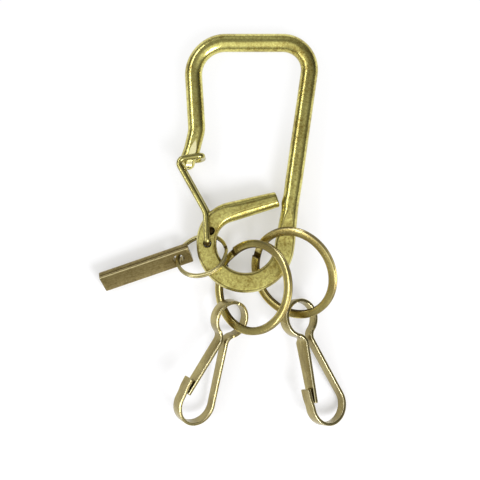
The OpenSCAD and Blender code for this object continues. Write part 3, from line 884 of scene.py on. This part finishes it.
ROD_BRASS = brass("rod_brass", light=(0.91, 0.86, 0.28), dark=(0.30, 0.22, 0.04),
                  worn_and_highlight=(0.93, 0.88, 0.52), roughness=0.17, grain=1.4, streak=0.0)
WIRE_BRASS = brass("wire_brass", light=(0.58, 0.53, 0.17), dark=(0.16, 0.12, 0.03),
                   worn_and_highlight=(0.85, 0.78, 0.42), roughness=0.16, grain=0.7, streak=0.1)
RING_BRASS = brass("ring_brass", light=(0.80, 0.69, 0.24), dark=(0.23, 0.15, 0.03),
                   worn_and_highlight=(0.86, 0.77, 0.44), roughness=0.18, grain=0.6, streak=0.35)
TAG_RING_BRASS = brass("tag_ring_brass", light=(0.80, 0.72, 0.32), dark=(0.24, 0.17, 0.05),
                       worn_and_highlight=(0.86, 0.78, 0.42), roughness=0.26, grain=0.2, streak=0.1)
STRIP_BRASS = brass("strip_brass", light=(0.50, 0.43, 0.18), dark=(0.20, 0.15, 0.05),
                    worn_and_highlight=(0.88, 0.80, 0.50), roughness=0.22, grain=0.5, streak=0.4)
TAG_BRASS = brass("tag_brass", light=(0.46, 0.37, 0.15), dark=(0.20, 0.15, 0.05),
                  worn_and_highlight=(0.80, 0.71, 0.38), roughness=0.28, grain=1.2, streak=0.5)


def dress(obj, material):
    obj.data.materials.clear()
    obj.data.materials.append(material)


dress(rod, ROD_BRASS)
for piece in gate_pieces:
    dress(piece, WIRE_BRASS)
for piece in key_rings:
    dress(piece, RING_BRASS)
dress(tag_ring, TAG_RING_BRASS)
for piece in hooks:
    dress(piece, STRIP_BRASS)
dress(tag, TAG_BRASS)


# ---- floor, light and camera --------------------------------------------------------------

FLOOR_SIZE, FLOOR_WHITE, FLOOR_ROUGHNESS = 3.0, (0.94, 0.93, 0.88), 0.9
# Over this band of y, in metres, the floor's own glow rises from the low to the high value, which
# paints light over the object's shadow more towards the belt bar.
GLOW_BAND, GLOW_LOW, GLOW_HIGH = (-0.055, -0.015), 0.38, 0.85
# Brightness of the room: band of the direction along an axis, and the value that it goes to
HORIZON_BAND, ROOM_HORIZON, ROOM_OVERHEAD = (0.2, 0.9), 0.34, 1.0
BEYOND_BAND, ROOM_BEYOND = (0.03, 0.33), 0.26
LOW_BEYOND_BAND, ROOM_LOW_BEYOND = (0.6, 0.95), 3.4
RIGHT_BAND, ROOM_RIGHT = (0.3, 0.9), 0.4
LAMP_COLOUR, LAMP_AIM = (0.97, 0.985, 1.12), (0, -0.06, 0)
CAMERA_PLACE = (-0.00457, -0.06359, 0.27735)
CAMERA_CLIP = (0.01, 10)
CAMERA_FOCAL_PX, PICTURE_PX = 857.6, 480


def build_floor():
    """A white floor, which also glows to the camera and in reflections but lights nothing."""
    mesh = bpy.data.meshes.new("floor")
    h, z = FLOOR_SIZE / 2, SURFACE * MM
    mesh.from_pydata([(-h, -h, z), (h, -h, z), (h, h, z), (-h, h, z)], [], [(0, 1, 2, 3)])
    obj = add_object("floor", mesh)
    material = bpy.data.materials.new("floor")
    material.use_nodes = True
    tree = material.node_tree
    nodes, links = tree.nodes, tree.links
    shader = nodes["Principled BSDF"]
    shader.inputs["Base Color"].default_value = (*FLOOR_WHITE, 1)
    shader.inputs["Roughness"].default_value = FLOOR_ROUGHNESS
    shader.inputs["Specular IOR Level"].default_value = 0.0
    rays = nodes.new("ShaderNodeLightPath").outputs
    seen = rays["Is Camera Ray"]
    for other in ("Is Glossy Ray", "Is Transmission Ray"):
        seen = maths(tree, "MAXIMUM", seen, rays[other])
    split = nodes.new("ShaderNodeSeparateXYZ")
    links.new(nodes.new("ShaderNodeTexCoord").outputs["Object"], split.inputs[0])
    glow_there = ranged(tree, split.outputs["Y"], GLOW_BAND, GLOW_LOW, GLOW_HIGH, "SMOOTHSTEP")
    both = nodes.new("ShaderNodeMixShader")
    links.new(maths(tree, "MULTIPLY", seen, glow_there), both.inputs["Fac"])
    links.new(shader.outputs[0], both.inputs[1])
    links.new(nodes.new("ShaderNodeEmission").outputs[0], both.inputs[2])
    links.new(both.outputs[0], nodes["Material Output"].inputs["Surface"])
    mesh.materials.append(material)


def build_world():
    """A pale room, dimmer towards the horizon and to the right.

    It is dark beyond the belt bar, and bright again low beyond it.
    """
    world = bpy.data.worlds.new("room")
    bpy.context.scene.world = world
    world.use_nodes = True
    tree = world.node_tree
    nodes, links = tree.nodes, tree.links
    split = nodes.new("ShaderNodeSeparateXYZ")
    links.new(nodes.new("ShaderNodeTexCoord").outputs["Generated"], split.inputs[0])
    height, beyond, low_beyond, right = (
        ranged(tree, split.outputs[axis], band, low, high, "SMOOTHSTEP")
        for axis, band, low, high in (("Z", HORIZON_BAND, ROOM_HORIZON, ROOM_OVERHEAD),
                                      ("Y", BEYOND_BAND, 1.0, ROOM_BEYOND),
                                      ("Y", LOW_BEYOND_BAND, 1.0, ROOM_LOW_BEYOND),
                                      ("X", RIGHT_BAND, 1.0, ROOM_RIGHT)))
    strength = maths(tree, "MULTIPLY", maths(tree, "MULTIPLY", height, beyond),
                     maths(tree, "MULTIPLY", low_beyond, right))
    links.new(strength, nodes["Background"].inputs["Strength"])
    nodes["Background"].inputs["Color"].default_value = (1, 1, 1, 1)


def soft_light(name, spot, size, watts):
    data = bpy.data.lights.new(name, "AREA")
    data.shape = "RECTANGLE"
    data.size, data.size_y = size
    data.energy, data.color = watts, LAMP_COLOUR
    obj = add_object(name, data)
    obj.location = spot
    obj.rotation_euler = (Vector(LAMP_AIM) - Vector(spot)).to_track_quat("-Z", "Y").to_euler()


def build_camera():
    """Looks straight down, with the photograph's top towards +Y."""
    camera = bpy.data.cameras.new("camera")
    camera.sensor_fit = "HORIZONTAL"
    camera.angle = 2 * math.atan(PICTURE_PX / 2 / CAMERA_FOCAL_PX)
    camera.clip_start, camera.clip_end = CAMERA_CLIP
    obj = add_object("camera", camera)
    obj.location = CAMERA_PLACE
    bpy.context.scene.camera = obj


build_floor()
build_world()
soft_light("key", spot=(0.34, -0.40, 0.46), size=(0.28, 0.28), watts=3.4)
soft_light("side", spot=(-0.44, 0.1, 0.4), size=(0.9, 0.09), watts=1.6)
build_camera()
bpy.context.scene.view_settings.view_transform = "Standard"
